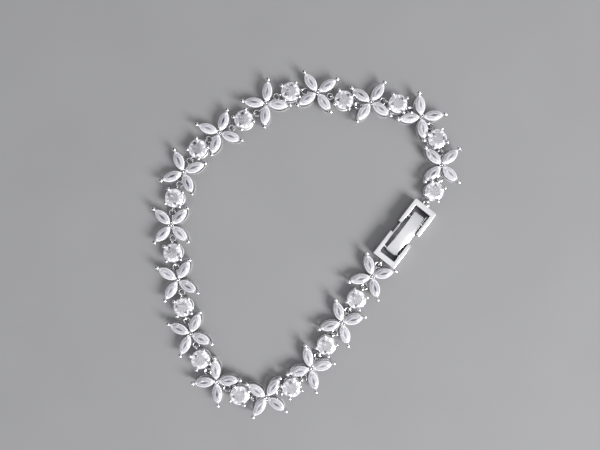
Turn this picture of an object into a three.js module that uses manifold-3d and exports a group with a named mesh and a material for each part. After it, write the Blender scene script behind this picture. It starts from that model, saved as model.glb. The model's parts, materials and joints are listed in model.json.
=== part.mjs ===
// Tennis bracelet: four-petal flower links and round links in turn, closed by a fold-over clasp.
// Millimetres, +Z up. The loop lies flat; seen from above, +X is to the right and +Y is away.
import * as THREE from 'three';
import { ConvexGeometry } from 'three/addons/geometries/ConvexGeometry.js';
import { mergeVertices } from 'three/addons/utils/BufferGeometryUtils.js';
import Module from 'manifold-3d';

const wasm = await Module();
wasm.setup();

// Route of the chain
// Chosen points on the loop's centre line, anticlockwise, from the hinge end of the clasp.
const route = [
  [15.5, -8.1], [25.9, 5.4], [27.7, 9.3], [27.8, 15], [25.7, 19.5], [21.7, 23],
  [16.6, 24.5], [11.8, 23.6], [6.6, 25.1], [1.5, 26.7], [-4.1, 26], [-8.3, 22.9],
  [-12.9, 19.6], [-18.3, 17.5], [-21.9, 13.5], [-24.5, 8.6], [-25.9, 3.1], [-26.1, -2.5],
  [-25.4, -8], [-24.3, -13.5], [-23.2, -19], [-21.4, -24.4], [-19, -29.6], [-14.7, -33.5],
  [-9.4, -35], [-4.2, -34.1], [0.2, -31.1], [3.2, -26.6], [6.6, -21.8], [9.6, -17],
  [12.6, -12.4],
];
const linkPairs = 15;
// Joints nearest the catch end of the clasp where the links lie slack.
const slackJoints = 1;
// How finely the route is measured, and how often a search for a length on it is halved.
const trackSteps = 1200;
const halvings = 45;

// Marquise stones of a flower
const petals = 4;
const marquiseLength = 4.3;
const marquiseWidth = 2.05;
const marquiseDepth = 0.85;
const petalGap = 0.3;
const railSteps = 3;
const railInnerSteps = 2;
const girdleSteps = 3;

// Round stone
const roundDiameter = 3.85;
const roundDepth = 1.3;
const roundSides = 12;
const baseRingSides = 8;

// Cut, shared by both kinds of stone
const girdleHeight = 1.9;
const crownHeight = 0.42;
const tableShare = 0.58;

// Settings
const railWidth = 0.3;
const railHeight = 0.35;
const hubRadius = 0.28;
const hubHeight = 2.2;
const hubSides = 6;
const roundClaws = 4;
const clawHeight = 2.6;
const clawWidth = 0.26;
const clawFoot = 0.25;
const beadRadius = 0.38;
const beadProud = 0.26;
const beadDome = 0.3;
const baseRingWidth = 0.4;

// Eyes: rings that hold one link to the next
const eyeRadius = 0.6;
const wireRadius = 0.14;
const eyeLift = 0.1;
const eyeClearance = 0.26;
const flowerEyeBar = 1.76;
const roundEyeOut = 0.41;
const eyeSides = 8;

// Clasp
const claspLength = 14.1;
const claspWidth = 5.3;
const claspHeight = 2.5;
const frameLength = 5.8;
const frameSide = 0.82;
const frameEnd = 1.15;
const framePlate = 0.55;
const sideWall = 0.35;
const floorPlate = 0.4;
const trayWallHeight = 0.9;
const trayInset = 0.7;
const trayShort = 0.35;
const claspEyeOut = 0.6;

// Lever and its hinge
const leverLength = 9.7;
const leverWidth = 2.4;
const leverPlate = 0.45;
const leverRise = 1;
const leverDrop = 0;
const leverCorner = 0.35;
const leverSteps = 10;
const pinRadius = 0.26;
const pinRun = 0.09;
const barrelWall = 0.24;
const pinInset = 0.45;
const pinHeight = 1.3;
const pinSides = 12;
const latchBarRadius = 0.3;
const latchBarGap = 0.16;
const latchBarInset = 1.35;
const latchLip = 0.4;
const leverCornerSteps = 2;

// Finish
const metalFinish = { color: 0xdcdcdf, roughness: 0.12, metalness: 1 };
const stoneFinish = { color: 0xe8e8ee, roughness: 0.05, metalness: 0.1 };

const eyeOuter = eyeRadius + wireRadius;
const eyeHeight = eyeOuter + eyeLift;
const beadHeight = clawHeight - beadDome;

// A closed geometry becomes a solid once its shared vertices are merged.
function toSolid(geometry) {
  const bare = new THREE.BufferGeometry();
  bare.setAttribute('position', geometry.getAttribute('position').clone());
  if (geometry.index) bare.setIndex(geometry.index.clone());
  const merged = mergeVertices(bare, 1e-5);
  return new wasm.Manifold(new wasm.Mesh({
    numProp: 3,
    vertProperties: new Float32Array(merged.attributes.position.array),
    triVerts: new Uint32Array(merged.index.array),
  }));
}

function toGeometry(solid) {
  const mesh = solid.getMesh();
  const geometry = new THREE.BufferGeometry();
  geometry.setAttribute('position', new THREE.BufferAttribute(new Float32Array(mesh.vertProperties), 3));
  geometry.setIndex(new THREE.BufferAttribute(new Uint32Array(mesh.triVerts), 1));
  geometry.computeVertexNormals();
  return geometry;
}

function join(geometries) {
  return geometries.map(toSolid).reduce((sum, solid) => sum.add(solid));
}

function block(x0, x1, y0, y1, z0, z1) {
  const box = new THREE.BoxGeometry(x1 - x0, y1 - y0, z1 - z0);
  return box.translate((x0 + x1) / 2, (y0 + y1) / 2, (z0 + z1) / 2);
}

// A rod across the clasp, along Y, centred on y = 0.
function crossRod(radius, length, x, z, sides) {
  return new THREE.CylinderGeometry(radius, radius, length, sides).translate(x, 0, z);
}

// A lens outline: two equal arcs that meet in a point at each end, along X.
function lensOutline(length, width, inset, stepsPerArc) {
  const half = length / 2;
  const rise = width / 2;
  const arcRadius = (half * half + rise * rise) / (2 * rise);
  const centre = arcRadius - rise;
  const radius = arcRadius - inset;
  const tip = Math.acos(centre / radius);
  const points = [];
  for (const side of [1, -1]) {
    for (let i = 0; i < stepsPerArc; i++) {
      const angle = tip * (1 - (2 * i) / stepsPerArc);
      const across = radius * Math.cos(angle) - centre;
      points.push(new THREE.Vector2(side * radius * Math.sin(angle), side * across));
    }
  }
  return points;
}

function circleOutline(radius, sides, turn) {
  return Array.from({ length: sides }, (_, i) => {
    const angle = ((i + turn) / sides) * 2 * Math.PI;
    return new THREE.Vector2(radius * Math.cos(angle), radius * Math.sin(angle));
  });
}

const atHeight = (outline, z) => outline.map((p) => new THREE.Vector3(p.x, p.y, z));

// A cut stone: pavilion to a keel point, crown facets and a flat table.
function cutStone(girdle, table, depth) {
  return new ConvexGeometry([
    ...atHeight(girdle, girdleHeight),
    ...atHeight(table, girdleHeight + crownHeight),
    new THREE.Vector3(0, 0, girdleHeight - depth),
  ]);
}

// A three-sided claw leans out from the rail, flat towards the stone, and ends over the stone's edge.
function claw(footReach, headReach) {
  const section = (half, reach) => [[-half, -half], [half, 0], [-half, half]]
    .map(([x, y]) => new THREE.Vector2(reach + x, y));
  return new ConvexGeometry([
    ...atHeight(section(clawWidth / 2, footReach), railHeight / 2),
    ...atHeight(section(beadRadius, headReach), beadHeight),
    new THREE.Vector3(headReach, 0, clawHeight),
  ]);
}

// An eye is a stamped ring as thick as it is broad. Flower links have flat eyes, round links upright ones.
function eye(reach, upright) {
  const outline = new THREE.Shape(circleOutline(eyeOuter, eyeSides, 0));
  outline.holes.push(new THREE.Path(circleOutline(eyeRadius - wireRadius, eyeSides, 0)));
  const ring = new THREE.ExtrudeGeometry(outline, { depth: 2 * wireRadius, bevelEnabled: false });
  ring.translate(0, 0, -wireRadius);
  if (upright) ring.rotateX(Math.PI / 2);
  return ring.translate(reach, 0, eyeHeight);
}

const petalCentre = petalGap + marquiseLength / 2;
const petalTip = petalGap + marquiseLength;
const flowerEyeReach = hubRadius + flowerEyeBar + eyeRadius;

// Four lens-shaped rails that meet under the hub, cut from one outline.
function petalRails() {
  const outer = lensOutline(marquiseLength, marquiseWidth, 0, railSteps);
  const inner = lensOutline(marquiseLength, marquiseWidth, railWidth, railInnerSteps);
  const outerButInnerTip = [...outer.slice(railSteps + 1), ...outer.slice(0, railSteps)];
  const outline = [];
  const holes = [];
  for (let i = 0; i < petals; i++) {
    const turn = petalTurn(i);
    const seat = (p) => new THREE.Vector2(p.x + petalCentre, p.y).rotateAround(new THREE.Vector2(), turn);
    const notch = new THREE.Vector2(petalGap * Math.SQRT2, 0);
    outline.push(...outerButInnerTip.map(seat), notch.rotateAround(new THREE.Vector2(), turn + Math.PI / petals));
    holes.push(new THREE.Path(inner.map(seat)));
  }
  const shape = new THREE.Shape(outline);
  shape.holes.push(...holes);
  return new THREE.ExtrudeGeometry(shape, { depth: railHeight, bevelEnabled: false });
}

function petalTurn(i) {
  return ((i + 0.5) / petals) * 2 * Math.PI;
}

// A bar through the hub with a flat eye at each end, cut from one outline.
function flatEyes() {
  const mouth = Math.asin(wireRadius / eyeOuter);
  const outline = [];
  for (const side of [1, -1]) {
    for (let i = 0; i < eyeSides; i++) {
      const angle = mouth - Math.PI + ((2 * (Math.PI - mouth)) * i) / (eyeSides - 1);
      const reach = flowerEyeReach + eyeOuter * Math.cos(angle);
      outline.push(new THREE.Vector2(side * reach, side * eyeOuter * Math.sin(angle)));
    }
  }
  const shape = new THREE.Shape(outline);
  for (const side of [1, -1]) {
    const hole = circleOutline(eyeRadius - wireRadius, eyeSides, 0);
    hole.forEach((p) => { p.x += side * flowerEyeReach; });
    shape.holes.push(new THREE.Path(hole));
  }
  const plate = new THREE.ExtrudeGeometry(shape, { depth: 2 * wireRadius, bevelEnabled: false });
  return plate.translate(0, 0, eyeHeight - wireRadius);
}

// Flower link: four marquise stones crosswise, each over its own rail, round one hub.
function flowerLink() {
  const girdle = lensOutline(marquiseLength, marquiseWidth, 0, girdleSteps);
  const table = girdle.map((p) => p.clone().multiplyScalar(tableShare));
  const hub = turned([[0, 0], [hubRadius, 0], [hubRadius, girdleHeight], [0, hubHeight]], hubSides);
  const parts = [petalRails(), hub, flatEyes()];
  for (let i = 0; i < petals; i++) {
    const stone = cutStone(girdle, table, marquiseDepth).translate(petalCentre, 0, 0);
    const prong = claw(petalTip - clawFoot, petalTip + beadProud);
    parts.push(stone.rotateZ(petalTurn(i)), prong.rotateZ(petalTurn(i)));
  }
  return join(parts);
}

// A solid turned about the vertical through the origin.
function turned(profile, sides) {
  const points = profile.map(([r, z]) => new THREE.Vector2(r, z));
  return new THREE.LatheGeometry(points, sides).rotateX(Math.PI / 2);
}

const roundRadius = roundDiameter / 2;
const roundEyeReach = roundRadius + roundEyeOut;

// Round link: one brilliant-cut stone on four claws over an open base ring.
function roundLink() {
  const girdle = circleOutline(roundRadius, roundSides, 0);
  const table = circleOutline(roundRadius * tableShare, roundSides, 0.5);
  const ring = new THREE.Shape(circleOutline(roundRadius, baseRingSides, 0));
  ring.holes.push(new THREE.Path(circleOutline(roundRadius - baseRingWidth, baseRingSides, 0)));
  const base = new THREE.ExtrudeGeometry(ring, { depth: railHeight, bevelEnabled: false });
  const parts = [base];
  for (let i = 0; i < roundClaws; i++) {
    const prong = claw(roundRadius - baseRingWidth / 2 - clawWidth / 2, roundRadius + beadProud);
    parts.push(prong.rotateZ(((i + 0.5) / roundClaws) * 2 * Math.PI));
  }
  parts.push(cutStone(girdle, table, roundDepth), eye(roundEyeReach, true), eye(-roundEyeReach, true));
  return join(parts);
}

// Clasp, along X with its hinge end at -X
const claspHalf = claspLength / 2;
const halfWidth = claspWidth / 2;
const frameInner = claspHalf - frameLength;
const leverX0 = -leverLength / 2;
const pinX = leverX0 + pinInset;
const latchX = leverX0 + leverLength - latchBarInset;
const barrelRadius = pinRadius + pinRun + barrelWall;

// A three-sided frame open towards the clasp's middle, with its end at +X.
function openFrame(side, end, z0, z1) {
  const [x0, x1, y] = [frameInner, claspHalf, halfWidth];
  const outline = [
    [x0, -y], [x1, -y], [x1, y], [x0, y], [x0, y - side], [x1 - end, y - side], [x1 - end, side - y], [x0, side - y],
  ];
  const shape = new THREE.Shape(outline.map(([px, py]) => new THREE.Vector2(px, py)));
  return new THREE.ExtrudeGeometry(shape, { depth: z1 - z0, bevelEnabled: false }).translate(0, 0, z0);
}

// One end of the clasp at +X: a frame plate on narrower walls.
function claspEnd() {
  const plateZ = claspHeight - framePlate;
  return [
    openFrame(frameSide, frameEnd, plateZ, claspHeight),
    openFrame(sideWall, sideWall, 0, (plateZ + claspHeight) / 2),
  ];
}

// Base: the hinge end with its floor, and a tray that runs on under the catch.
function claspBase() {
  const trayHalf = halfWidth - trayInset;
  const trayEnd = claspHalf - sideWall - trayShort;
  const wallTop = floorPlate + trayWallHeight;
  const parts = [
    ...claspEnd().map((g) => g.rotateZ(Math.PI)),
    block(-claspHalf, -frameInner, -halfWidth, halfWidth, 0, floorPlate),
    block(-claspHalf + sideWall / 2, trayEnd, -trayHalf, trayHalf, 0, floorPlate),
  ];
  for (const side of [1, -1]) {
    const [inner, outer] = [trayHalf - sideWall, trayHalf].map((y) => y * side).sort((a, b) => a - b);
    parts.push(block(-frameInner - sideWall, trayEnd, inner, outer, floorPlate / 2, wallTop));
  }
  parts.push(eye(-claspHalf - claspEyeOut, true));
  const pinHole = toSolid(crossRod(pinRadius + pinRun, claspWidth * 2, pinX, pinHeight, pinSides));
  return join(parts).subtract(pinHole);
}

// Catch: the other end, open below, with the bar that the lever's lip holds.
function claspCatch() {
  const bar = crossRod(latchBarRadius, claspWidth - sideWall, latchX, latchBarZ(), pinSides);
  return join([...claspEnd(), bar, eye(claspHalf + claspEyeOut, false)]);
}

function latchBarZ() {
  return floorPlate + trayWallHeight + latchBarGap + latchBarRadius;
}

// Lever: a bowed plate, its barrel on the pin at one end and its lip behind the bar at the other.
function claspLever() {
  const half = leverLength / 2;
  const endTop = claspHeight - leverDrop;
  const outer = (half * half + leverRise * leverRise) / (2 * leverRise);
  const centreZ = endTop + leverRise - outer;
  const sweep = Math.asin(half / outer);
  const inner = outer - leverPlate;
  const arc = (radius, from, to) => Array.from({ length: leverSteps + 1 }, (_, i) => {
    const angle = from + ((to - from) * i) / leverSteps;
    return new THREE.Vector2(radius * Math.sin(angle), centreZ + radius * Math.cos(angle));
  });
  const bow = new THREE.Shape([...arc(outer, sweep, -sweep), ...arc(inner, -sweep, sweep)]);
  const band = new THREE.ExtrudeGeometry(bow, { depth: leverWidth, bevelEnabled: false });
  band.rotateX(Math.PI / 2).translate(0, leverWidth / 2, 0);

  const corner = new THREE.Shape();
  const [x, y, c] = [half, leverWidth / 2, leverCorner];
  corner.moveTo(-x + c, -y).lineTo(x - c, -y).quadraticCurveTo(x, -y, x, -y + c).lineTo(x, y - c);
  corner.quadraticCurveTo(x, y, x - c, y).lineTo(-x + c, y).quadraticCurveTo(-x, y, -x, y - c);
  corner.lineTo(-x, -y + c).quadraticCurveTo(-x, -y, -x + c, -y);
  const planOptions = { depth: endTop + 2 * leverRise, bevelEnabled: false, curveSegments: leverCornerSteps };
  const plan = new THREE.ExtrudeGeometry(corner, planOptions);
  const plate = toSolid(band).intersect(toSolid(plan));

  const barrelLength = leverWidth - 2 * leverCorner;
  const under = (at) => centreZ + Math.sqrt(inner * inner - at * at);
  const webX = pinX + barrelRadius / 2;
  const lipX = latchX + latchBarRadius + latchBarGap;
  const lipZ = latchBarZ() - latchBarRadius;
  const solids = join([
    crossRod(barrelRadius, barrelLength, pinX, pinHeight, pinSides),
    block(pinX, webX, -barrelLength / 2, barrelLength / 2, pinHeight, under(webX) + leverPlate / 2),
    block(lipX, lipX + latchLip, -barrelLength / 2, barrelLength / 2, lipZ, under(lipX) + leverPlate / 2),
  ]);
  const bore = toSolid(crossRod(pinRadius + pinRun, claspWidth, pinX, pinHeight, pinSides));
  return plate.add(solids).subtract(bore);
}

// Laying the chain along its route
// Two eyes meet with their middles this far apart, slack or pulled out.
const slackMeet = eyeRadius;
const pulledMeet = 2 * (eyeRadius - wireRadius) - eyeClearance;

// Rigid pieces in order round the loop, each with the reach of its eyes.
const pieces = [{ reach: claspHalf + claspEyeOut }];
for (let i = 0; i < linkPairs; i++) pieces.push({ reach: roundEyeReach }, { reach: flowerEyeReach });
const meeting = (joint) => (joint <= slackJoints ? slackMeet : pulledMeet);
pieces.forEach((piece, i) => {
  const before = meeting(i === 0 ? pieces.length : i) / 2;
  const after = meeting(i + 1) / 2;
  piece.length = 2 * piece.reach + before + after;
  piece.shift = (before - after) / 2;
});

const curve = new THREE.CatmullRomCurve3(route.map(([x, y]) => new THREE.Vector3(x, y, 0)), true, 'centripetal');
const track = curve.getSpacedPoints(trackSteps).slice(0, -1);
const trackPoint = (at, scale) => {
  const i = Math.floor(at);
  const from = track[i % track.length];
  const to = track[(i + 1) % track.length];
  return from.clone().lerp(to, at - i).multiplyScalar(scale);
};

// Ends of every rigid piece as chords of the track, grown by the scale.
function layAlong(scale) {
  const ends = [trackPoint(0, scale)];
  let at = 0;
  for (const piece of pieces) {
    const start = ends[ends.length - 1];
    while (trackPoint(at + 1, scale).distanceTo(start) < piece.length) at += 1;
    let [low, high] = [at, at + 1];
    for (let i = 0; i < halvings; i++) {
      const middle = (low + high) / 2;
      if (trackPoint(middle, scale).distanceTo(start) < piece.length) low = middle;
      else high = middle;
    }
    at = high;
    ends.push(trackPoint(at, scale));
  }
  return { ends, laps: at / track.length };
}

// The loop closes at the scale where the pieces take exactly one lap.
function closedLay() {
  const nominal = pieces.reduce((sum, piece) => sum + piece.length, 0) / curve.getLength();
  let [low, high] = [nominal * 0.8, nominal * 1.2];
  for (let i = 0; i < halvings; i++) {
    const middle = (low + high) / 2;
    if (layAlong(middle).laps > 1) low = middle;
    else high = middle;
  }
  return layAlong(high).ends;
}

const bracelet = new THREE.Group();
bracelet.name = 'tennis_bracelet';
const ends = closedLay();

function place(object, index) {
  const along = ends[index + 1].clone().sub(ends[index]);
  const middle = ends[index].clone().add(ends[index + 1]).multiplyScalar(0.5);
  object.position.copy(middle).addScaledVector(along.normalize(), pieces[index].shift);
  object.rotation.z = Math.atan2(along.y, along.x);
  bracelet.add(object);
}

function named(name, geometry, finish) {
  const mesh = new THREE.Mesh(geometry, new THREE.MeshStandardMaterial(finish));
  mesh.name = name;
  return mesh;
}

const clasp = new THREE.Group();
clasp.add(
  named('clasp_base', toGeometry(claspBase()), metalFinish),
  named('clasp_catch', toGeometry(claspCatch()), metalFinish),
  named('clasp_lever', toGeometry(claspLever()), metalFinish),
  named('clasp_hinge_pin', crossRod(pinRadius, claspWidth, pinX, pinHeight, pinSides), metalFinish),
);
place(clasp, 0);

const roundGeometry = toGeometry(roundLink());
const flowerGeometry = toGeometry(flowerLink());
for (let i = 0; i < linkPairs; i++) {
  const number = String(i + 1).padStart(2, '0');
  place(named(`round_link_${number}`, roundGeometry, stoneFinish), 2 * i + 1);
  place(named(`flower_link_${number}`, flowerGeometry, stoneFinish), 2 * i + 2);
}

// The origin is the middle of the loop's box, on the surface it lies on.
bracelet.updateMatrixWorld(true);
const box = new THREE.Box3().setFromObject(bracelet, true);
const centre = box.getCenter(new THREE.Vector3());
bracelet.children.forEach((child) => {
  child.position.x -= centre.x;
  child.position.y -= centre.y;
  child.position.z -= box.min.z;
});
bracelet.updateMatrixWorld(true);

export default bracelet;
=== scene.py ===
# %% [markdown]
# A tennis bracelet: fifteen flowers of four marquise stones and fifteen round stones in turn,
# each link hooked into the next, closed by a fold-over clasp with a bowed lever.
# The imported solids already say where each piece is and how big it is. This lesson gives every
# one of them its cut facets, its wires and claws, and its finish, and moves none of them.

# %% The fixed frame
import json
import math
import bmesh
import bpy
from mathutils import Matrix, Vector


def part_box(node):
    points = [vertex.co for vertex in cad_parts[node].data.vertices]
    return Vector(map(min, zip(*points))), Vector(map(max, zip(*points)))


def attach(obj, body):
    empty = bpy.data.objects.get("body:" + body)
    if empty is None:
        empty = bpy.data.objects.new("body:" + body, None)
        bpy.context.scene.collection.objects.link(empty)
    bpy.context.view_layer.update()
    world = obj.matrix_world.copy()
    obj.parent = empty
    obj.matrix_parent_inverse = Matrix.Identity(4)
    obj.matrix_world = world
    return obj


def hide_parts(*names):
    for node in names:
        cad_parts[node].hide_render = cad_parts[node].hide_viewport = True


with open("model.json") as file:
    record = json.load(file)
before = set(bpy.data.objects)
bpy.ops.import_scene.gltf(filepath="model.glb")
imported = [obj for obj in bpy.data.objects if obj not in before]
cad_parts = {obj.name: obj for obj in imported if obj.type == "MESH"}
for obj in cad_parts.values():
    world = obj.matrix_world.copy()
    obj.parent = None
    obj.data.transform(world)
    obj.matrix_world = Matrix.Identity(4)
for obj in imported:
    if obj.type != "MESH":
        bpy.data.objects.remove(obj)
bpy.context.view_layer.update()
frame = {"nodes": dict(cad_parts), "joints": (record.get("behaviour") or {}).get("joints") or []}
MM = 0.001
nodes = frame["nodes"]
print("solids in the frame:", len(nodes))

# %% [markdown]
# The picture was taken from straight above, from close by, so that the feet of the settings
# are seen past the edges of the stones, always on the side of the picture's middle. Only a
# camera at the right height shows that. A wide lens close above the loop gives it.

# %% The camera
LENS_FIELD = math.radians(67.3)
CAMERA_OVER = Vector((-1.40, 3.89, 93.67)) * MM
SENSOR_WIDTH = 36
NEAREST = 5 * MM
FARTHEST = 10

camera_data = bpy.data.cameras.new("camera_above")
camera_data.sensor_width = SENSOR_WIDTH
camera_data.lens = SENSOR_WIDTH / 2 / math.tan(LENS_FIELD / 2)
camera_data.clip_start = NEAREST
camera_data.clip_end = FARTHEST
camera = bpy.data.objects.new("camera_above", camera_data)
camera.location = CAMERA_OVER
bpy.context.scene.collection.objects.link(camera)
bpy.context.scene.camera = camera
print("camera height in mm:", round(camera.location.z / MM, 1))

# %% [markdown]
# Shader maths reads best as plain sums. This class wraps one output of a material's nodes, so
# that `0.1 + 0.2 * grain` adds the Math nodes itself. Every other kind of node comes from the
# one method of `Finish`, which sets the node's own settings before its sockets.

# %% Signals and finishes


class Signal:
    """One output socket, with arithmetic."""

    def __init__(self, tree, socket):
        self.tree = tree
        self.socket = socket

    def maths(self, operation, first, second):
        node = self.tree.nodes.new("ShaderNodeMath")
        node.operation = operation
        for socket, value in zip(node.inputs, (first, second)):
            if isinstance(value, Signal):
                self.tree.links.new(value.socket, socket)
            else:
                socket.default_value = value
        return Signal(self.tree, node.outputs[0])

    def __add__(self, other):
        return self.maths("ADD", self, other)

    def __radd__(self, other):
        return self.maths("ADD", other, self)

    def __sub__(self, other):
        return self.maths("SUBTRACT", self, other)

    def __rsub__(self, other):
        return self.maths("SUBTRACT", other, self)

    def __mul__(self, other):
        return self.maths("MULTIPLY", self, other)

    def __rmul__(self, other):
        return self.maths("MULTIPLY", other, self)


class Finish:
    """A material with one Principled shader, and a method that adds any other node."""

    def __init__(self, name):
        self.material = bpy.data.materials.new(name)
        self.material.use_nodes = True
        self.tree = self.material.node_tree
        self.shader = self.tree.nodes["Principled BSDF"]

    def node(self, kind, settings=None, sockets=None, output=0):
        node = self.tree.nodes.new(kind)
        for name, value in (settings or {}).items():
            setattr(node, name, value)
        for name, value in (sockets or {}).items():
            self.feed(node.inputs[name], value)
        return Signal(self.tree, node.outputs[output])

    def feed(self, socket, value):
        if isinstance(value, Signal):
            self.tree.links.new(value.socket, socket)
        else:
            socket.default_value = value

    def place(self):
        return self.node("ShaderNodeTexCoord", output="Object")

    def noise(self, size, detail=2.0):
        """Soft noise whose blobs are about `size` metres across."""
        return self.node("ShaderNodeTexNoise", {"noise_dimensions": "3D"},
                         {"Vector": self.place(), "Scale": 1 / size, "Detail": detail}, "Fac")

    def between(self, low, high, share):
        """A colour from low to high. Sockets 6 and 7 are the colour inputs of a Mix node."""
        return self.node("ShaderNodeMix", {"data_type": "RGBA"},
                         {"Factor": share, 6: (*low, 1), 7: (*high, 1)}, 2)

    def bumped(self, height, depth, strength):
        return self.node("ShaderNodeBump", {},
                         {"Height": height, "Distance": depth, "Strength": strength}, "Normal")

    def set(self, **sockets):
        for name, value in sockets.items():
            self.feed(self.shader.inputs[name.replace("_", " ")], value)
        return self.material


print("signals and finishes are ready")

# %% [markdown]
# Rhodium plate over brass is a cooler and slightly darker white than silver. It was polished on
# small wheels, so it isn't a perfect mirror: a fine grain breaks the reflections, and the gloss
# changes a little from place to place. The rails and rings under the stones keep the matt
# surface of the casting. The inside of the clasp gets painted shade, a dark colour that stands
# in for the shade and dark reflections in its recess.

# %% Bright plated metal
CLOUD_SIZE = 1.1 * MM
GRAIN_SIZE = 0.09 * MM
GRAIN_DEPTH = 0.004 * MM
GRAIN_STRENGTH = 0.35


def bright_plate(name, low, high, smooth, rough):
    """Metal that goes from one colour and roughness to another in clouds, with a fine grain."""
    finish = Finish(name)
    cloud = finish.noise(CLOUD_SIZE, 3.0)
    grain = finish.noise(GRAIN_SIZE, 1.0)
    return finish.set(Base_Color=finish.between(low, high, cloud),
                      Metallic=1.0,
                      Roughness=smooth + (rough - smooth) * cloud,
                      Normal=finish.bumped(grain, GRAIN_DEPTH, GRAIN_STRENGTH))


setting_metal = bright_plate("rhodium_setting", (0.80, 0.80, 0.82), (0.95, 0.95, 0.96), 0.10, 0.22)
clasp_metal = bright_plate("rhodium_clasp", (0.86, 0.86, 0.87), (0.94, 0.94, 0.945), 0.16, 0.26)
cast_metal = bright_plate("rhodium_as_cast", (0.88, 0.88, 0.89), (0.97, 0.97, 0.975), 0.38, 0.52)
# Painted shade: the inside of the clasp is coloured dark for the shade and dark reflections there.
painted_shade_metal = bright_plate("painted_shade_inside", (0.10, 0.10, 0.11), (0.20, 0.20, 0.21), 0.40, 0.55)
metals = (setting_metal, clasp_metal, cast_metal, painted_shade_metal)
print("metals:", [metal.name for metal in metals])

# %% [markdown]
# The stones are zirconia: clear, with a strong bend of light, so that a ray that comes in at
# the top turns round inside and comes back. From a distance that sparkle reads as a bright haze
# at the rim, a softer lilac in the body, and a dark slit where the keel mirrors the dark above.
# One function makes all four looks, which are lit and shaded copies of one stone: the rim's
# haze is a painted highlight, the slit a painted reflection of the dark, and the milky colour of
# body and table is painted sparkle. They differ in colour and in how much shows through.

# %% Zirconia
LIGHT_BEND = 2.15
TINT_SIZE = 3.5 * MM
TINT_SPREAD = 2.6
WHEEL_SIZE = 0.15 * MM
POLISH = 0.01
WHEEL_MARKS = 0.05


def zirconia(name, low, high, clear):
    """A stone of which so much shows what lies behind it, and the rest is sparkle painted as a milky
    colour.
    """
    finish = Finish(name)
    finish.shader.inputs["IOR"].default_value = LIGHT_BEND
    finish.shader.inputs["Transmission Weight"].default_value = clear
    # Noise stays near one half, so it is spread from there to reach both colours.
    tint = TINT_SPREAD * finish.noise(TINT_SIZE) - (TINT_SPREAD - 1) / 2
    wheel_lines = finish.noise(WHEEL_SIZE, 1.0)
    return finish.set(Base_Color=finish.between(low, high, tint),
                      Roughness=POLISH + WHEEL_MARKS * wheel_lines)


# Lit and shaded copies of one stone: body and table carry painted sparkle as milky colour, the rim a
# painted highlight, and the dark look a painted reflection of the dark above.
body_stone = zirconia("zirconia_body", (0.62, 0.60, 0.66), (0.96, 0.94, 0.99), 0.5)
painted_rim_stone = zirconia("zirconia_painted_rim", (0.93, 0.92, 0.96), (0.99, 0.985, 1.0), 0.25)
painted_dark_stone = zirconia("zirconia_painted_dark", (0.02, 0.02, 0.03), (0.36, 0.35, 0.40), 0.4)
table_stone = zirconia("zirconia_table", (0.82, 0.80, 0.86), (0.99, 0.98, 1.0), 0.72)
cut_stone = (body_stone, painted_rim_stone, painted_dark_stone, table_stone)
# A facet's look goes by its place in cut_stone.
BODY, PAINTED_RIM, PAINTED_DARK, TABLE = 0, 1, 2, 3
print("stones:", [look.name for look in cut_stone])

# %% [markdown]
# A cut stone is easiest as the skin round its corner points: rings for the girdle, the middle
# of the crown and the table, then the pavilion below. Each ring comes from a circle or a spun
# arc, and the convex hull stretches flat facets between them, as a lap grinds them.

# %% Helpers for meshes


def turn(degrees, axis="Z"):
    return Matrix.Rotation(math.radians(degrees), 4, axis)


def move(x=0.0, y=0.0, z=0.0):
    return Matrix.Translation((x, y, z))


def placed(bm, matrix):
    """A turned or moved copy of a bmesh."""
    mesh = bpy.data.meshes.new("copy")
    bm.to_mesh(mesh)
    mesh.transform(matrix)
    copy = bmesh.new()
    copy.from_mesh(mesh)
    bpy.data.meshes.remove(mesh)
    return copy


def hull(bm):
    """The skin round all points, with flat neighbours made one facet."""
    found = bmesh.ops.convex_hull(bm, input=bm.verts)
    inside = {v for v in found["geom_interior"] if isinstance(v, bmesh.types.BMVert)}
    bmesh.ops.delete(bm, geom=list(inside), context="VERTS")
    bmesh.ops.delete(bm, geom=[e for e in bm.edges if e.is_wire], context="EDGES")
    bmesh.ops.dissolve_limit(bm, angle_limit=math.radians(1.0), verts=bm.verts, edges=bm.edges)
    bmesh.ops.recalc_face_normals(bm, faces=bm.faces)


def lens_arcs(bm, length, width, z, steps, offset=0.0):
    """Spins a point round the middle of each arc of a lens, begun at a part of a step."""
    half, rise = length / 2, width / 2
    radius = (half * half + rise * rise) / (2 * rise)
    step = 2 * math.asin(half / radius) / steps
    for side in (1, -1):
        middle = Vector((0, side * (rise - radius), z))
        tip = Vector((-half * side, 0, z))
        start = middle + Matrix.Rotation(-offset * step, 3, "Z") @ (tip - middle)
        point = bmesh.ops.create_vert(bm, co=start)["vert"]
        turns = steps - 1
        bmesh.ops.spin(bm, geom=point, cent=middle, axis=(0, 0, 1), angle=-step * turns,
                       steps=turns, use_duplicate=True)


def ring_of_points(bm, radius, z, count, offset=0.0):
    bmesh.ops.create_circle(bm, segments=count, radius=radius,
                            matrix=move(z=z) @ turn(offset * 360 / count))


def lift(bm, faces, height):
    bmesh.ops.translate(bm, verts=list({v for f in faces for v in f.verts}), vec=(0, 0, height))


def raise_faces(bm, height):
    """Extrudes all faces upward, and returns the new top."""
    raised = bmesh.ops.extrude_face_region(bm, geom=bm.faces[:])["geom"]
    top = [f for f in raised if isinstance(f, bmesh.types.BMFace)]
    lift(bm, top, height)
    bmesh.ops.recalc_face_normals(bm, faces=bm.faces)
    return top


def triangles(bm):
    return sum(len(f.verts) - 2 for f in bm.faces)


print("helpers are ready")

# %% [markdown]
# The marquise is a boat-shaped stone with a point at each end. Its crown has a lens-shaped
# table with narrow facets round it, and below, the facets run to a short keel. From above the
# keel shows as a dark slit, where it mirrors the dark above, so the table is inset to a narrow
# lens on which that dark reflection is painted.

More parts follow.
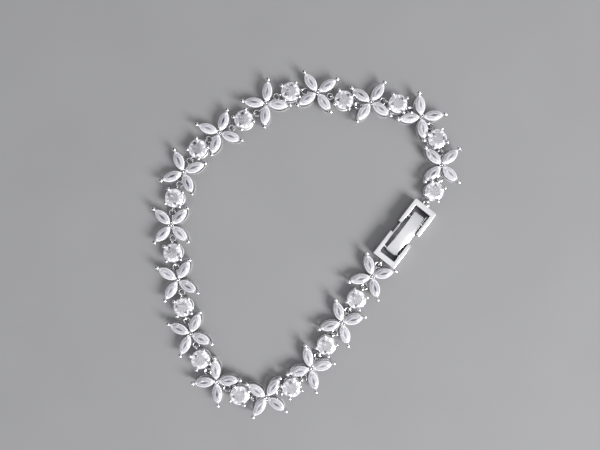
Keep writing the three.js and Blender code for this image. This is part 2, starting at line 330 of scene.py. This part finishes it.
# %% Marquise stone
GIRDLE = 1.9
GIRDLE_EDGE = 0.035
CROWN = 0.42
MARQUISE = (4.3, 2.05)
MARQUISE_DEPTH = 0.85
KEEL_SHARE = 0.07
SLIT_SHARE = 0.175
FACES_UP = 0.3


def mark_painted_rim(bm):
    """The facets that touch the girdle from above get the painted highlight of the rim."""
    for face in bm.faces:
        lowest = min(v.co.z for v in face.verts)
        if face.normal.z > FACES_UP and lowest < GIRDLE + 2 * GIRDLE_EDGE:
            face.material_index = PAINTED_RIM


def top_face(bm):
    return max(bm.faces, key=lambda f: f.calc_center_median().z)


def marquise():
    length, width = MARQUISE
    # Shares of the length and the width, height, steps of an arc, and offset of its first point
    rings = ((1, 1, GIRDLE - GIRDLE_EDGE, 6, 0.0),
             (1, 1, GIRDLE + GIRDLE_EDGE, 6, 0.0),
             (0.84, 0.83, GIRDLE + CROWN * 0.52, 5, 0.5),
             (0.60, 0.58, GIRDLE + CROWN, 4, 0.0),
             (0.44, 0.40, GIRDLE - MARQUISE_DEPTH * 0.66, 4, 0.5))
    bm = bmesh.new()
    for length_share, width_share, z, steps, offset in rings:
        lens_arcs(bm, length * length_share, width * width_share, z, steps, offset)
    for x in (-length * KEEL_SHARE, length * KEEL_SHARE):
        bmesh.ops.create_vert(bm, co=(x, 0, GIRDLE - MARQUISE_DEPTH))
    hull(bm)
    mark_painted_rim(bm)
    # The slit is painted dark, as the reflection of the dark above.
    slit = top_face(bm)
    bmesh.ops.inset_region(bm, faces=[slit], thickness=width * SLIT_SHARE)
    slit.material_index = PAINTED_DARK
    return bm


marquise_stone = marquise()
print("marquise facets:", len(marquise_stone.faces))

# %% [markdown]
# The round stone is a brilliant. Eight kites run from the table to the girdle, with star
# facets between them, and eight long facets run down to the point, each pair with two slivers
# beside it. The ring in the middle of the crown lies just where the kites stay flat. Some
# facets mirror the dark and some the light, so two of the stars and half the long ones get the
# dark look, and every third facet at the rim gets the softer look of the body.

# %% Round brilliant
ROUND_RADIUS = 3.85 / 2
ROUND_DEPTH = 1.5
TABLE_SHARE = 0.56
STAR_SHARE = 0.5
LOWER_SHARE = 0.75
NEAR_POINT = 0.01


def brilliant():
    table = ROUND_RADIUS * TABLE_SHARE
    # The middle rings are turned by half a step, so their points reach out by this much.
    narrow = math.cos(math.radians(360 / 8 / 2))
    middle = (table + (ROUND_RADIUS - table) * STAR_SHARE) / narrow
    lower = ROUND_RADIUS * (1 - LOWER_SHARE) / narrow
    bottom = GIRDLE - ROUND_DEPTH
    bm = bmesh.new()
    ring_of_points(bm, ROUND_RADIUS, GIRDLE - GIRDLE_EDGE, 16)
    ring_of_points(bm, ROUND_RADIUS, GIRDLE + GIRDLE_EDGE, 16)
    ring_of_points(bm, table, GIRDLE + CROWN, 8)
    ring_of_points(bm, middle, GIRDLE + CROWN * (1 - STAR_SHARE), 8, 0.5)
    ring_of_points(bm, lower, GIRDLE - ROUND_DEPTH * LOWER_SHARE, 8, 0.5)
    bmesh.ops.create_vert(bm, co=(0, 0, bottom))
    hull(bm)
    mark_painted_rim(bm)
    table_face = top_face(bm)
    table_face.material_index = TABLE
    stars = [f for e in table_face.edges for f in e.link_faces if f is not table_face]
    point = [f for f in bm.faces if min(v.co.z for v in f.verts) < bottom + NEAR_POINT]
    bright = [f for f in bm.faces if f.material_index == PAINTED_RIM]
    # Painted reflections: the dark look on some stars and long facets, and the softer body look in
    # place of the rim's painted highlight.
    for group, step, look in ((stars, 5, PAINTED_DARK), (point, 2, PAINTED_DARK), (bright, 3, BODY)):
        group.sort(key=lambda f: math.atan2(*f.calc_center_median().xy))
        for face in group[::step]:
            face.material_index = look
    return bm


round_stone = brilliant()
print("brilliant facets:", len(round_stone.faces))

# %% [markdown]
# Under each petal lies a rail that follows its outline and rests on the skin. A flat outline
# is spun as two arcs, inset to a band and raised, and its top is inset and raised again, so
# that its shoulders slope and its two tips stay sharp as on the casting. Rings are made from a
# small circle that is spun right round, and claws and posts are tapered rods.

# %% Wires, rails and rings
SHOULDER = 0.6
ROOF_INSET = 0.28
RAIL_BAND = 0.2
RAIL_HEIGHT = 0.34


def lens_rail(length, width, band, low, high, steps=9):
    """A rail along the outline of a lens, with upright sides and sloping shoulders."""
    bm = bmesh.new()
    lens_arcs(bm, length, width, low, steps)
    outline = sorted(bm.verts, key=lambda v: math.atan2(v.co.y, v.co.x))
    inside = bm.faces.new(outline)
    inside.normal_update()
    bmesh.ops.inset_region(bm, faces=[inside], thickness=band,
                           use_even_offset=True, use_boundary=True)
    bmesh.ops.delete(bm, geom=[inside], context="FACES")
    top = raise_faces(bm, (high - low) * SHOULDER)
    bmesh.ops.inset_region(bm, faces=top, thickness=band * ROOF_INSET, use_even_offset=True)
    lift(bm, top, (high - low) * (1 - SHOULDER))
    return bm


def wire_ring(radius, wire, steps=28, sides=8):
    """A round wire bent to a ring about Z."""
    bm = bmesh.new()
    bmesh.ops.create_circle(bm, segments=sides, radius=wire,
                            matrix=move(x=radius) @ turn(90, "X"))
    bmesh.ops.spin(bm, geom=bm.edges[:], cent=(0, 0, 0), axis=(0, 0, 1),
                   angle=2 * math.pi, steps=steps, use_merge=True)
    bmesh.ops.recalc_face_normals(bm, faces=bm.faces)
    return bm


def rod(start, end, start_radius, end_radius, sides=10):
    """A tapered rod from one point to another."""
    start, end = Vector(start), Vector(end)
    along = end - start
    stand = along.to_track_quat("Z", "Y").to_matrix().to_4x4()
    bm = bmesh.new()
    bmesh.ops.create_cone(bm, cap_ends=True, segments=sides, radius1=start_radius,
                          radius2=end_radius, depth=along.length,
                          matrix=Matrix.Translation((start + end) / 2) @ stand)
    return bm


def ball(radius, centre, flat=1.0, sides=14, rings=9):
    """A ball whose height is a share of its width."""
    bm = bmesh.new()
    bmesh.ops.create_uvsphere(bm, u_segments=sides, v_segments=rings, radius=radius,
                              matrix=move(*centre) @ Matrix.Diagonal((1, 1, flat, 1)))
    return bm


petal_rail = lens_rail(*MARQUISE, RAIL_BAND, 0.0, RAIL_HEIGHT)
print("one rail has", triangles(petal_rail), "triangles")

# %% [markdown]
# Real settings are cast in one piece, and the stones are held so tightly that link and stones
# are one solid here. A Boolean modifier joins closed shapes and removes what is hidden inside,
# and a second one cuts a bore where a pin goes through. Both work in millimetres, because their
# tolerances suit numbers near one.

# %% Fusing closed shapes into one body
TINY = 1e-4
SHARP_EDGE = math.radians(38)


def as_object(name, bm, materials):
    mesh = bpy.data.meshes.new(name)
    bm.to_mesh(mesh)
    for material in materials if isinstance(materials, tuple) else (materials,):
        mesh.materials.append(material)
    return bpy.data.objects.new(name, mesh)


def combine(name, solids, operation):
    """The first object with all the others joined to it or cut out of it, as a clean mesh."""
    group = bpy.data.collections.new(name)
    bpy.context.scene.collection.children.link(group)
    bpy.context.scene.collection.objects.link(solids[0])
    for solid in solids[1:]:
        group.objects.link(solid)
    modifier = solids[0].modifiers.new("combine", "BOOLEAN")
    modifier.operation = operation
    modifier.operand_type = "COLLECTION"
    modifier.collection = group
    modifier.solver = "EXACT"
    modifier.material_mode = "TRANSFER"
    depsgraph = bpy.context.evaluated_depsgraph_get()
    mesh = bpy.data.meshes.new_from_object(solids[0].evaluated_get(depsgraph))
    mesh.name = name
    for solid in solids:
        spare = solid.data
        bpy.data.objects.remove(solid)
        bpy.data.meshes.remove(spare)
    bpy.data.collections.remove(group)
    bm = bmesh.new()
    bm.from_mesh(mesh)
    bmesh.ops.remove_doubles(bm, verts=bm.verts, dist=TINY)
    bmesh.ops.dissolve_degenerate(bm, dist=TINY, edges=bm.edges)
    open_edges = sum(1 for e in bm.edges if not e.is_manifold)
    bm.to_mesh(mesh)
    print(name, "triangles:", triangles(bm), "open edges:", open_edges)
    bm.free()
    return mesh


def fuse(name, shapes, cuts=()):
    """Joins (bmesh, material) pairs into one mesh, takes the cuts out of it, and shades it."""
    solids = [as_object(f"{name}_{i}", bm, material) for i, (bm, material) in enumerate(shapes)]
    mesh = combine(name, solids, "UNION")
    if cuts:
        cutters = [as_object(f"{name}_cut", bm, shapes[0][1]) for bm in cuts]
        mesh = combine(name, [bpy.data.objects.new(name, mesh), *cutters], "DIFFERENCE")
    return shade(mesh)


def shade(mesh):
    """Metal is smooth except at its sharp edges, and each stone facet stays flat."""
    flat = {i for i, material in enumerate(mesh.materials) if material in cut_stone}
    for polygon in mesh.polygons:
        polygon.use_smooth = polygon.material_index not in flat
    mesh.set_sharp_from_angle(angle=SHARP_EDGE)
    return mesh


print("edges sharper than", round(math.degrees(SHARP_EDGE)), "degrees stay sharp")

# %% [markdown]
# Four petals stand crosswise round a post. Each has its rail below, a thin seat that follows
# the stone's edge, a leaning claw with a round bead at its tip, and shares two small inner
# claws with its neighbours. A wire through the post carries a flat ring at each end.

# %% Flower link
PETAL_GAP = 0.3
PETAL_CENTRE = PETAL_GAP + MARQUISE[0] / 2
PETAL_TIP = PETAL_GAP + MARQUISE[0]
EYE_RADIUS = 0.6
EYE_WIRE = 0.14
EYE_LIFT = 0.1
EYE_HEIGHT = EYE_RADIUS + EYE_WIRE + EYE_LIFT
FLOWER_EYE = 2.64
HUB_FOOT = 0.28
HUB_HEAD = 0.22
HUB_TOP = GIRDLE + 0.1
HUB_BALL = 0.26
HUB_BALL_HEIGHT = GIRDLE + 0.12
SEAT = (MARQUISE[0] + 0.02, MARQUISE[1] + 0.08)
SEAT_BAND = 0.16
SEAT_LOW = GIRDLE - 0.24
SEAT_HIGH = GIRDLE - 0.05
CLAW_INSET = 0.25
CLAW_LOW = 0.1
CLAW_FOOT = 0.15
CLAW_HEAD = 0.2
PETAL_PROUD = 0.24
PETAL_BEAD = 0.47
BEAD_HEIGHT = 2.26
BEAD_THICK = 0.34
INNER_FOOT = (0.2, 0, 0.9)
INNER_HEAD = (0.5, 0, GIRDLE + 0.15)
INNER_TIP = (0.5, 0, GIRDLE + 0.2)
INNER_CLAW = 0.1
INNER_BEAD = 0.13
SMALL_FLAT = 0.8


def eye(x, tilt=0):
    """The ring at one end of a link, which lies flat or stands up with a tilt of 90 degrees."""
    return placed(wire_ring(EYE_RADIUS, EYE_WIRE), move(x=x, z=EYE_HEIGHT) @ turn(tilt, "X"))


def claw_with_bead(edge, proud, bead):
    """A claw in the X-Z plane: a leaning stem and the bead that is pressed over the stone."""
    head = (edge + proud, 0, BEAD_HEIGHT)
    stem = rod((edge - CLAW_INSET, 0, CLAW_LOW), head, CLAW_FOOT, CLAW_HEAD)
    return [stem, ball(bead, head, BEAD_THICK / bead)]


def flower_link():
    inner = FLOWER_EYE - EYE_RADIUS
    middle = [rod((0, 0, 0), (0, 0, HUB_TOP), HUB_FOOT, HUB_HEAD, 12),
              ball(HUB_BALL, (0, 0, HUB_BALL_HEIGHT), SMALL_FLAT),
              eye(FLOWER_EYE),
              eye(-FLOWER_EYE),
              rod((-inner, 0, EYE_HEIGHT), (inner, 0, EYE_HEIGHT), EYE_WIRE, EYE_WIRE)]
    petal = [(petal_rail, cast_metal),
             (lens_rail(*SEAT, SEAT_BAND, SEAT_LOW, SEAT_HIGH), setting_metal),
             (marquise_stone, cut_stone)]
    claw = claw_with_bead(PETAL_TIP, PETAL_PROUD, PETAL_BEAD)
    inner_claw = [rod(INNER_FOOT, INNER_HEAD, INNER_CLAW, INNER_CLAW, 8),
                  ball(INNER_BEAD, INNER_TIP, SMALL_FLAT, 10, 7)]
    shapes = [(bm, setting_metal) for bm in middle]
    for i in range(4):
        along = turn(45 + 90 * i)
        between = turn(90 * i)
        shapes += [(placed(bm, along @ move(x=PETAL_CENTRE)), look) for bm, look in petal]
        shapes += [(placed(bm, along), setting_metal) for bm in claw]
        shapes += [(placed(bm, between), setting_metal) for bm in inner_claw]
    return fuse("flower_link", shapes)


flower_mesh = flower_link()

# %% [markdown]
# A round link holds its stone in four claws on an open base ring, with a second, thinner wire
# just under the stone's edge. Its two rings stand upright, so that they pass through the flat
# rings of the flowers beside it, and that is what lets the chain bend both ways.

# %% Round link
ROUND_EYE = 2.335
ROUND_PROUD = 0.17
ROUND_BEAD = 0.41
BASE_WIRE = 0.17
BASE_RADIUS = ROUND_RADIUS - 0.19
GALLERY_WIRE = 0.09
GALLERY_RADIUS = ROUND_RADIUS - 0.06
GALLERY_HEIGHT = GIRDLE - 0.13
RING_STEPS = 32


def round_link():
    base = placed(wire_ring(BASE_RADIUS, BASE_WIRE, RING_STEPS), move(z=BASE_WIRE))
    gallery = placed(wire_ring(GALLERY_RADIUS, GALLERY_WIRE, RING_STEPS), move(z=GALLERY_HEIGHT))
    shapes = [(base, cast_metal), (gallery, setting_metal), (round_stone, cut_stone)]
    claw = claw_with_bead(ROUND_RADIUS, ROUND_PROUD, ROUND_BEAD)
    for i in range(4):
        shapes += [(placed(bm, turn(45 + 90 * i)), setting_metal) for bm in claw]
    shapes += [(eye(x, 90), setting_metal) for x in (ROUND_EYE, -ROUND_EYE)]
    return fuse("round_link", shapes)


round_mesh = round_link()

# %% [markdown]
# Each link is put where its solid is. The middle of the solid's box is the middle of the
# link, because a link looks the same turned half round, and the points that lie farthest out
# at the height of the rings show which way it lies.

# %% Where each link lies
EYE_BAND = 0.2
END_SPREAD = 0.01


def link_matrix(node):
    """Where a link lies and which way it points, from its solid."""
    low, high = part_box(node)
    centre = (low + high) / 2
    band = [v.co for v in nodes[node].data.vertices
            if (EYE_HEIGHT - EYE_BAND) * MM < v.co.z < (EYE_HEIGHT + EYE_BAND) * MM]
    flat = [Vector((p.x - centre.x, p.y - centre.y)) for p in band]
    reach = max(p.length for p in flat)
    far = [p for p in flat if p.length > reach - END_SPREAD * MM]
    one_end = [p for p in far if p.dot(far[0]) > 0]
    end = sum(one_end, Vector((0, 0)))
    yaw = math.atan2(end.y, end.x)
    return Matrix.Translation((centre.x, centre.y, 0)) @ Matrix.Rotation(yaw, 4, "Z")


def settle(name, mesh, matrix, body, slot, *replaced):
    """Puts a copy of a millimetre mesh in its place, as a piece of the object."""
    copy = mesh.copy()
    copy.name = name
    copy.transform(matrix @ Matrix.Scale(MM, 4))
    piece = bpy.data.objects.new(name, copy)
    bpy.context.scene.collection.objects.link(piece)
    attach(piece, body)
    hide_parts(*replaced)


link_nodes = sorted(node for node in nodes if "_link_" in node)
for node in link_nodes:
    mesh = flower_mesh if node.startswith("flower") else round_mesh
    settle(f"set_{node}", mesh, link_matrix(node), "root", "set_stones", node)
print("links in place:", len(link_nodes))

# %% [markdown]
# The clasp is two three-sided frames that meet face to face, with a bowed lever that folds
# over both. Its own axes come from the hinge: the joint's axis runs across the clasp, and the
# middle of the pin says where it is.

# %% The clasp's own axes
PIN_X = -4.4
PIN_Z = 1.3
across = -Vector(frame["joints"][0]["axis"])
forward = across.cross(Vector((0, 0, 1)))
clasp_yaw = math.atan2(forward.y, forward.x)
pin_low, pin_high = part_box("clasp_hinge_pin")
pin_middle = (pin_low + pin_high) / 2
clasp_matrix = (Matrix.Translation((pin_middle.x, pin_middle.y, 0))
                @ Matrix.Rotation(clasp_yaw, 4, "Z") @ move(x=-PIN_X * MM))
print("clasp lies at", round(math.degrees(clasp_yaw), 1), "degrees")

# %% [markdown]
# The frames are thin plates on narrower walls. A plate starts as one short edge that is
# extruded round three sides, so that its corners are mitred, and is then raised. Its edges
# are rolled over by the polishing wheel, and a two-step bevel shows it as a bright line.

# %% Frames, blocks and bars
CLASP_HALF = 7.05
HALF_WIDTH = 2.65
FRAME_INNER = 1.25
CORNER = 0.3
BLOCK_EDGE = 0.05


def rounded(bm, offset, segments=2, sharper_than=40):
    """Bevels every edge that is sharper than so many degrees."""
    limit = math.radians(sharper_than)
    sharp = [e for e in bm.edges if e.is_manifold and e.calc_face_angle(0) > limit]
    bmesh.ops.bevel(bm, geom=sharp, offset=offset, segments=segments, profile=0.5,
                    affect="EDGES", material=-1, clamp_overlap=True)
    return bm


def at_outer_corner(vert):
    return abs(vert.co.x - CLASP_HALF) < TINY and abs(abs(vert.co.y) - HALF_WIDTH) < TINY


def open_frame(side, end, low, high, edge):
    """A plate round three sides of one half of the clasp, open towards the middle."""
    outer = (FRAME_INNER, -HALF_WIDTH, low)
    inner = (FRAME_INNER, side - HALF_WIDTH, low)
    bm = bmesh.new()
    start = [bmesh.ops.create_vert(bm, co=place)["vert"][0] for place in (outer, inner)]
    front = bm.edges.new(start)
    corners = (((CLASP_HALF, -HALF_WIDTH), (CLASP_HALF - end, side - HALF_WIDTH)),
               ((CLASP_HALF, HALF_WIDTH), (CLASP_HALF - end, HALF_WIDTH - side)),
               ((FRAME_INNER, HALF_WIDTH), (FRAME_INNER, HALF_WIDTH - side)))
    for far, near in corners:
        grown = bmesh.ops.extrude_edge_only(bm, edges=[front])["geom"]
        front = next(g for g in grown if isinstance(g, bmesh.types.BMEdge))
        for vert in front.verts:
            before = next(e.other_vert(vert) for e in vert.link_edges if e is not front)
            place = far if abs(before.co.y) > HALF_WIDTH - TINY else near
            vert.co = (*place, low)
    raise_faces(bm, high - low)
    upright = [e for e in bm.edges
               if abs(e.verts[0].co.z - e.verts[1].co.z) > TINY
               and all(at_outer_corner(v) for v in e.verts)]
    bmesh.ops.bevel(bm, geom=upright, offset=CORNER, segments=4, profile=0.5,
                    affect="EDGES", material=-1)
    return rounded(bm, edge)


def block(x, y, z, edge=BLOCK_EDGE):
    """A block between two values of x, of y and of z."""
    middle = [(low + high) / 2 for low, high in (x, y, z)]
    size = [high - low for low, high in (x, y, z)]
    bm = bmesh.new()
    bmesh.ops.create_cube(bm, size=1, matrix=move(*middle) @ Matrix.Diagonal((*size, 1)))
    return rounded(bm, edge)


def bar_across(radius, length, x, z, sides=20, edge=BLOCK_EDGE):
    return rounded(rod((x, -length / 2, z), (x, length / 2, z), radius, radius, sides), edge)


print("one half of the clasp is", CLASP_HALF - FRAME_INNER, "mm long")

# %% [markdown]
# The hinge half carries the pin, and its tray runs on under the other half, whose bar the lever
# holds. Each half has an eye at its end, one upright and one flat, to suit the link it meets.
# The pin's bore has 27 sides where the barrel round it has 24, so that hardly any of their
# edges line up, which keeps the cut clean.

# %% Clasp base, catch and pin
FRAME_SIDE = 0.82
FRAME_END = 1.15
PLATE_LOW = 1.95
CLASP_TOP = 2.5
PLATE_EDGE = 0.09
WALL = 0.35
WALL_EDGE = 0.04
OVERLAP = 0.2
FLOOR = 0.4
FLOOR_INSET = 0.05
TRAY_START = 0.2 - CLASP_HALF
TRAY_END = 6.35
TRAY_HALF = 1.95
TRAY_TOP = 1.3
TRAY_EDGE = 0.07
CLASP_EYE = 7.65
LATCH_X = 3.5
LATCH_Z = 1.76
LATCH_RADIUS = 0.3
PIN_RADIUS = 0.26
PIN_EDGE = 0.08
PIN_SIDES = 24
PIN_HOLE = 0.34
HOLE_REACH = 3
HOLE_SIDES = 27


def clasp_end():
    return [open_frame(FRAME_SIDE, FRAME_END, PLATE_LOW, CLASP_TOP, PLATE_EDGE),
            open_frame(WALL, WALL, 0, PLATE_LOW + OVERLAP, WALL_EDGE)]


def clasp_base():
    floor_half = HALF_WIDTH - FLOOR_INSET
    shapes = [(placed(bm, turn(180)), clasp_metal) for bm in clasp_end()]
    # The floor and the tray carry the painted shade of the clasp's inside.
    shapes.append((block((FLOOR_INSET - CLASP_HALF, -FRAME_INNER), (-floor_half, floor_half),
                         (0, FLOOR)), painted_shade_metal))
    shapes.append((block((TRAY_START, TRAY_END), (-TRAY_HALF, TRAY_HALF), (0, FLOOR)), painted_shade_metal))
    for y in ((TRAY_HALF - WALL, TRAY_HALF), (-TRAY_HALF, WALL - TRAY_HALF)):
        side_wall = block((-FRAME_INNER - WALL, TRAY_END), y, (FLOOR / 2, TRAY_TOP), TRAY_EDGE)
        shapes.append((side_wall, clasp_metal))
    shapes.append((eye(-CLASP_EYE, 90), clasp_metal))
    return shapes


def clasp_catch():
    latch = bar_across(LATCH_RADIUS, 2 * HALF_WIDTH - WALL, LATCH_X, LATCH_Z)
    return [(bm, clasp_metal) for bm in (*clasp_end(), latch, eye(CLASP_EYE))]


def pin_hole():
    return rod((PIN_X, -HOLE_REACH, PIN_Z), (PIN_X, HOLE_REACH, PIN_Z), PIN_HOLE, PIN_HOLE, HOLE_SIDES)


pin = bar_across(PIN_RADIUS, 2 * HALF_WIDTH, PIN_X, PIN_Z, PIN_SIDES, PIN_EDGE)
base_mesh = fuse("clasp_base", clasp_base(), [pin_hole()])
catch_mesh = fuse("clasp_catch", clasp_catch())
pin_mesh = fuse("clasp_pin", [(pin, clasp_metal)])
settle("clasp_base_frame", base_mesh, clasp_matrix, "root", "bright_metal", "clasp_base")
settle("clasp_catch_frame", catch_mesh, clasp_matrix, "root", "bright_metal", "clasp_catch")
settle("clasp_pin", pin_mesh, clasp_matrix, "root", "bright_metal", "clasp_hinge_pin")

# %% [markdown]
# The lever is a strip bent to a shallow bow. One edge across the clasp is spun about a far
# centre below it, its four corners are rounded, and then it is thickened and its rims are
# rounded too. Below it hang the barrel round the pin, a web that carries the barrel, and the
# lip that snaps behind the other half's bar.

# %% Lever
LEVER_HALF = 4.85
LEVER_WIDTH = 2.4
LEVER_RISE = 1.0
LEVER_PLATE = 0.45
LEVER_END_TOP = 2.5
LEVER_CORNER = 0.35
LEVER_EDGE = 0.07
BARREL_RADIUS = 0.59
BARREL_LENGTH = LEVER_WIDTH - 0.7
WEB_END = PIN_X + 0.3
LIP_START = LATCH_X + LATCH_RADIUS + 0.16
LIP_END = LIP_START + 0.4
LIP_LOW = 1.46
BOW_RADIUS = (LEVER_HALF ** 2 + LEVER_RISE ** 2) / (2 * LEVER_RISE)
BOW_CENTRE = LEVER_END_TOP + LEVER_RISE - BOW_RADIUS


def lever_strip():
    sweep = 2 * math.asin(LEVER_HALF / BOW_RADIUS)
    bm = bmesh.new()
    ends = [bmesh.ops.create_vert(bm, co=(-LEVER_HALF, y, LEVER_END_TOP))["vert"][0]
            for y in (-LEVER_WIDTH / 2, LEVER_WIDTH / 2)]
    edge = bm.edges.new(ends)
    bmesh.ops.spin(bm, geom=[edge, *ends], cent=(0, 0, BOW_CENTRE), axis=(0, 1, 0),
                   angle=sweep, steps=24)
    corners = [v for v in bm.verts if abs(abs(v.co.x) - LEVER_HALF) < TINY]
    bmesh.ops.bevel(bm, geom=corners, offset=LEVER_CORNER, segments=4, profile=0.5,
                    affect="VERTICES", material=-1)
    bmesh.ops.recalc_face_normals(bm, faces=bm.faces)
    if sum(f.normal.z for f in bm.faces) < 0:
        bmesh.ops.reverse_faces(bm, faces=bm.faces)
    bmesh.ops.solidify(bm, geom=bm.faces[:], thickness=LEVER_PLATE)
    bmesh.ops.recalc_face_normals(bm, faces=bm.faces)
    return rounded(bm, LEVER_EDGE, sharper_than=50)


def into_bow(x):
    """A height inside the bowed plate, just above its underside."""
    return BOW_CENTRE + math.sqrt((BOW_RADIUS - LEVER_PLATE) ** 2 - x * x) + OVERLAP


barrel_width = (-BARREL_LENGTH / 2, BARREL_LENGTH / 2)
lever_shapes = (lever_strip(),
                bar_across(BARREL_RADIUS, BARREL_LENGTH, PIN_X, PIN_Z, PIN_SIDES),
                block((PIN_X, WEB_END), barrel_width, (PIN_Z, into_bow(WEB_END))),
                block((LIP_START, LIP_END), barrel_width, (LIP_LOW, into_bow(LIP_START))))
lever_mesh = fuse("clasp_lever", [(bm, clasp_metal) for bm in lever_shapes], [pin_hole()])
settle("clasp_lever_plate", lever_mesh, clasp_matrix, "lever", "bright_metal", "clasp_lever")

# %% [markdown]
# The floor is plain and pale, a little darker than the metal, so that the bracelet stands out.

# %% Floor
FLOOR_HALF = 1.5
FLOOR_DARK = (0.22, 0.22, 0.224)
FLOOR_PALE = (0.245, 0.245, 0.249)
FLOOR_ROUGHNESS = 0.8


def flat_object(name, material, matrix):
    """A square of two metres, turned or sized by a matrix, which is no piece of the bracelet."""
    bm = bmesh.new()
    bmesh.ops.create_grid(bm, x_segments=1, y_segments=1, size=1, matrix=matrix)
    piece = as_object(name, bm, material)
    bpy.context.scene.collection.objects.link(piece)
    return piece


floor_finish = Finish("pale_floor")
floor_finish.set(Base_Color=floor_finish.between(FLOOR_DARK, FLOOR_PALE, floor_finish.noise(20 * MM)),
                 Roughness=FLOOR_ROUGHNESS + 0.1 * floor_finish.noise(5 * MM))
flat_object("floor", floor_finish.material, Matrix.Diagonal((FLOOR_HALF, FLOOR_HALF, 1, 1)))
print("floor is", 2 * FLOOR_HALF, "m wide")

# %% [markdown]
# Soft light from all sides, as under an overcast sky, gives white metal its white, and a lamp
# from the lower right throws the soft shadows to the upper left. A dark card above the upper
# left is only seen in reflections, as whoever takes a picture is. It puts the black dots on the
# beads.

# %% Light
SKY_EDGE = (0.24, 0.25, 0.27)
SKY_TOP = (0.86, 0.86, 0.88)
LAMP_PLACE = Vector((0.5, -0.4, 0.5))
LAMP_SIZE = 0.4
LAMP_POWER = 10.0
CARD_PLACE = Vector((-160, 140, 108)) * MM
CARD_HALF = Vector((140, 150)) * MM


def sky(horizon, zenith):
    """A sky that is brighter overhead than at its edge."""
    world = bpy.data.worlds.new("soft_sky")
    world.use_nodes = True
    tree = world.node_tree
    direction = tree.nodes.new("ShaderNodeTexCoord")
    parts = tree.nodes.new("ShaderNodeSeparateXYZ")
    ramp = tree.nodes.new("ShaderNodeValToRGB")
    ramp.color_ramp.elements[0].color = (*horizon, 1)
    ramp.color_ramp.elements[1].color = (*zenith, 1)
    tree.links.new(direction.outputs["Generated"], parts.inputs[0])
    tree.links.new(parts.outputs["Z"], ramp.inputs[0])
    tree.links.new(ramp.outputs[0], tree.nodes["Background"].inputs["Color"])
    bpy.context.scene.world = world


def soft_lamp(name, place, size, power):
    """A round lamp that points at the middle of the bracelet."""
    data = bpy.data.lights.new(name, "AREA")
    data.shape = "DISK"
    data.size = size
    data.energy = power
    lamp = bpy.data.objects.new(name, data)
    lamp.location = place
    lamp.rotation_euler = (-place).to_track_quat("-Z", "Y").to_euler()
    bpy.context.scene.collection.objects.link(lamp)


sky(SKY_EDGE, SKY_TOP)
bpy.context.scene.view_settings.view_transform = "Standard"
soft_lamp("key", LAMP_PLACE, LAMP_SIZE, LAMP_POWER)

black = Finish("card_black").set(Base_Color=(0.02, 0.02, 0.02, 1), Roughness=0.8)
card_size = Matrix.Diagonal((*CARD_HALF, 1, 1))
card = flat_object("dark_card", black, Matrix.Translation(CARD_PLACE) @ card_size)
card.visible_camera = False
card.visible_diffuse = False
card.visible_shadow = False
print("lights: sky and key, with a dark card above the upper left")
